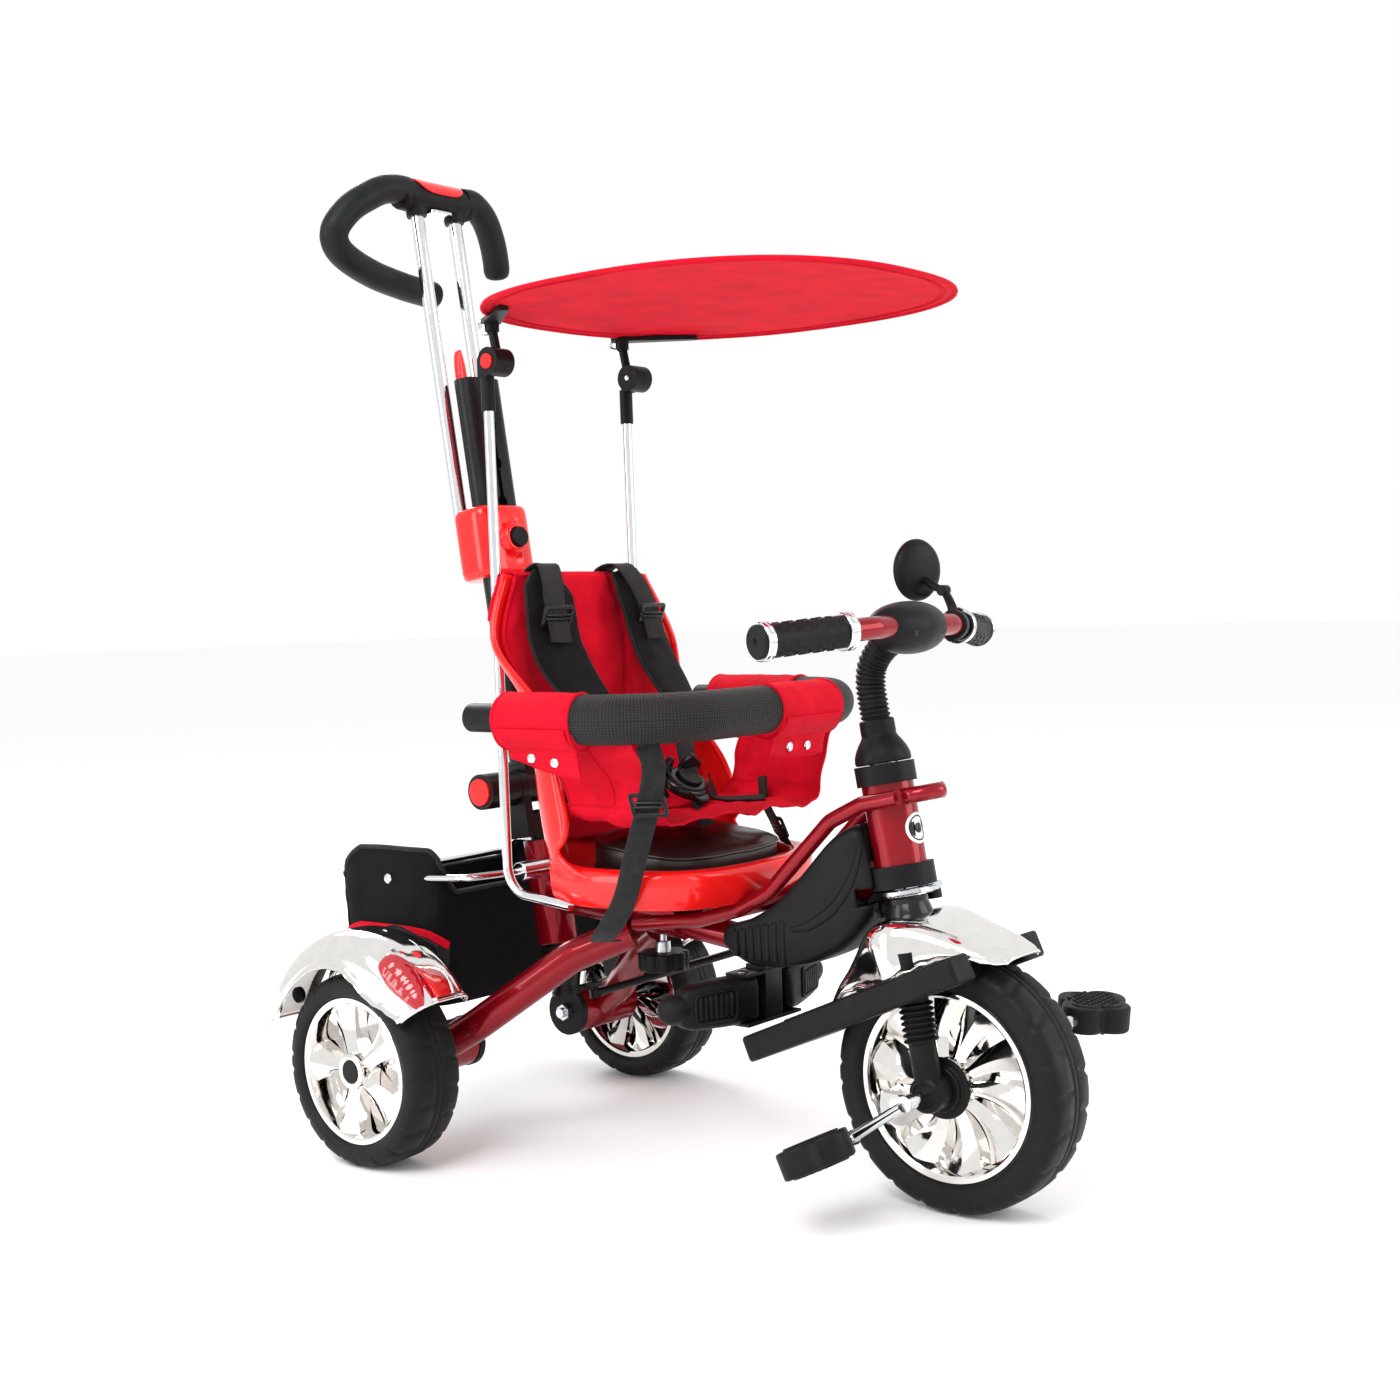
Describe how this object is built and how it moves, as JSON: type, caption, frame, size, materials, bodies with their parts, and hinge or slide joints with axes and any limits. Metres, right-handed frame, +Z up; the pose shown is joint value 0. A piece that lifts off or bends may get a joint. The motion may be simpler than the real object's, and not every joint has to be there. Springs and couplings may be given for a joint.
{
  "type": "children's tricycle",
  "caption": "Children's tricycle with a steering push bar, flat tilting canopy, guard hoop, bucket seat, mudguards and rear bag.",
  "frame": {"origin": "on the floor, under the middle of the whole tricycle's box", "axes": "+Z up, -Y forward in the direction of travel, +X towards the child's left"},
  "size_m": [0.524, 0.871, 1.0969],
  "materials": {
    "frame_red": "deep candy red gloss lacquer over bright metal",
    "red_plastic": "bright red moulded plastic, high gloss",
    "black_plastic": "black moulded plastic, satin grain",
    "black_steel": "black powder coat",
    "black_rubber": "soft black rubber",
    "black_foam": "black foam grip, fine grain",
    "zinc_steel": "bright zinc plate",
    "chrome_steel": "polished chrome plate",
    "chrome_plastic": "vacuum chromed plastic",
    "tyre_eva": "dark foam tyre, satin",
    "black_vinyl": "glossy black vinyl",
    "red_fabric": "crimson woven polyester",
    "black_webbing": "black webbing and padding",
    "black_fabric": "black woven polyester"
  },
  "bodies": {
    "frame": {"head_tube": "frame_red", "frame_rails": "frame_red", "main_tube": "frame_red", "rear_fork": "frame_red", "hub_discs": "black_plastic", "rear_axles": "zinc_steel", "column_sleeve": "red_plastic", "head_cups": "black_plastic", "frame_covers": "black_plastic", "peg_bracket": "black_steel", "seat_shell": "red_plastic", "seat_cushion": "black_vinyl", "backrest_cover": "red_fabric", "harness": "black_webbing", "seat_liner": "red_fabric", "hoop_sockets": "black_plastic", "canopy_posts": "chrome_steel", "lower_elbows": "black_plastic", "mudguards": "chrome_plastic", "basket_bag": "black_fabric", "basket_rail": "chrome_steel"},
    "steering": {"steerer": "zinc_steel", "stem_gaiter": "black_rubber", "handlebar": "frame_red", "bar_cover": "black_plastic", "grips": "black_rubber", "fork": "black_plastic", "steering_arm": "zinc_steel", "front_fender": "chrome_plastic", "foot_plate": "black_plastic"},
    "mirror": {"mirror_head": "black_plastic"},
    "front_wheel": {"front_tyre": "tyre_eva", "front_rim": "chrome_plastic", "front_hub": "black_plastic", "crank_axle": "chrome_steel"},
    "pedal_near": {"pedal_near": "black_plastic"},
    "pedal_far": {"pedal_far": "black_plastic"},
    "rear_wheel_near": {"rear_tyre_near": "tyre_eva", "rear_rim_near": "chrome_plastic"},
    "rear_wheel_far": {"rear_tyre_far": "tyre_eva", "rear_rim_far": "chrome_plastic"},
    "push_column": {"push_column": "black_steel"},
    "mast": {"mast": "black_steel"},
    "handle": {"handle_clamp": "red_plastic", "handle_tubes": "chrome_steel", "handle_grip": "black_foam"},
    "handle_button": {"handle_button": "black_plastic"},
    "lock_button_near": {"lock_button_near": "red_plastic"},
    "lock_button_far": {"lock_button_far": "red_plastic"},
    "link_rod": {"link_rod": "black_steel"},
    "seat_knob": {"seat_knob": "black_plastic"},
    "peg_near": {"peg_near": "black_plastic"},
    "peg_far": {"peg_far": "black_plastic"},
    "canopy": {"canopy_arms": "black_plastic", "canopy": "red_fabric"},
    "elbow_button_near": {"elbow_button_near": "red_plastic"},
    "elbow_button_far": {"elbow_button_far": "red_plastic"},
    "hoop": {"hoop_tube": "chrome_steel", "hoop_padding": "red_fabric"},
    "buckle_button": {"buckle_button": "black_plastic"}
  },
  "joints": [
    {"name": "steer_turn", "type": "hinge", "parent": "frame", "child": "steering", "pos_m": [0, -0.24849, 0.328], "axis": [0, 0.1736, 0.9848], "range_deg": [-30, 30]},
    {"name": "push_turn", "type": "hinge", "parent": "frame", "child": "push_column", "pos_m": [0, 0.24801, 0.39], "axis": [0, 0.1564, 0.9877], "range_deg": [-30, 30]},
    {"name": "link_turn", "type": "hinge", "parent": "push_column", "child": "link_rod", "pos_m": [0.05, 0.21046, 0.15296], "axis": [0, 0.1564, 0.9877], "range_deg": [-30, 30]},
    {"name": "front_spin", "type": "hinge", "parent": "steering", "child": "front_wheel", "pos_m": [0, -0.31049, 0.125], "axis": [1, 0, 0], "continuous": true},
    {"name": "pedal_near_spin", "type": "hinge", "parent": "front_wheel", "child": "pedal_near", "pos_m": [-0.146, -0.24439, 0.07993], "axis": [1, 0, 0], "continuous": true},
    {"name": "pedal_far_spin", "type": "hinge", "parent": "front_wheel", "child": "pedal_far", "pos_m": [0.146, -0.37659, 0.17007], "axis": [1, 0, 0], "continuous": true},
    {"name": "rear_near_spin", "type": "hinge", "parent": "frame", "child": "rear_wheel_near", "pos_m": [-0.2225, 0.28801, 0.105], "axis": [1, 0, 0], "continuous": true},
    {"name": "rear_far_spin", "type": "hinge", "parent": "frame", "child": "rear_wheel_far", "pos_m": [0.2225, 0.28801, 0.105], "axis": [1, 0, 0], "continuous": true},
    {"name": "mast_fold", "type": "hinge", "parent": "push_column", "child": "mast", "pos_m": [0, 0.24801, 0.39], "axis": [1, 0, 0], "range_deg": [-75, 0]},
    {"name": "handle_slide", "type": "slide", "parent": "mast", "child": "handle", "axis": [0, 0.1564, 0.9877], "range_m": [0, 0.135]},
    {"name": "handle_button_press", "type": "slide", "parent": "handle", "child": "handle_button", "axis": [0, 0.9877, -0.1564], "range_m": [0, 0.004], "stiffness_N_per_m": 400},
    {"name": "lock_near_press", "type": "slide", "parent": "push_column", "child": "lock_button_near", "axis": [1, 0, 0], "range_m": [0, 0.003], "stiffness_N_per_m": 400},
    {"name": "lock_far_press", "type": "slide", "parent": "push_column", "child": "lock_button_far", "axis": [-1, 0, 0], "range_m": [0, 0.003], "stiffness_N_per_m": 400},
    {"name": "knob_turn", "type": "hinge", "parent": "frame", "child": "seat_knob", "pos_m": [0, 0.06201, 0.205], "axis": [0, 0, 1], "range_deg": [0, 180]},
    {"name": "peg_near_fold", "type": "hinge", "parent": "frame", "child": "peg_near", "pos_m": [-0.036, -0.07399, 0.185], "axis": [0, 0, 1], "range_deg": [-50, 0]},
    {"name": "peg_far_fold", "type": "hinge", "parent": "frame", "child": "peg_far", "pos_m": [0.036, -0.07399, 0.185], "axis": [0, 0, 1], "range_deg": [0, 50]},
    {"name": "canopy_tilt", "type": "hinge", "parent": "frame", "child": "canopy", "pos_m": [0, 0.17601, 0.857], "axis": [1, 0, 0], "range_deg": [-60, 12]},
    {"name": "elbow_near_press", "type": "slide", "parent": "frame", "child": "elbow_button_near", "axis": [1, 0, 0], "range_m": [0, 0.002], "stiffness_N_per_m": 300},
    {"name": "elbow_far_press", "type": "slide", "parent": "frame", "child": "elbow_button_far", "axis": [-1, 0, 0], "range_m": [0, 0.002], "stiffness_N_per_m": 300},
    {"name": "hoop_slide", "type": "slide", "parent": "frame", "child": "hoop", "axis": [0, -1, 0], "range_m": [0, 0.03]},
    {"name": "buckle_press", "type": "slide", "parent": "frame", "child": "buckle_button", "axis": [0, 0.5736, -0.8192], "range_m": [0, 0.002], "stiffness_N_per_m": 300},
    {"name": "mirror_tilt", "type": "hinge", "parent": "steering", "child": "mirror", "pos_m": [0.096, -0.24499, 0.6], "axis": [1, 0, 0], "range_deg": [-20, 20]}
  ],
  "couplings": [
    {"joint": "push_turn", "follows": "steer_turn", "ratio": 1},
    {"joint": "link_turn", "follows": "steer_turn", "ratio": -1}
  ]
}
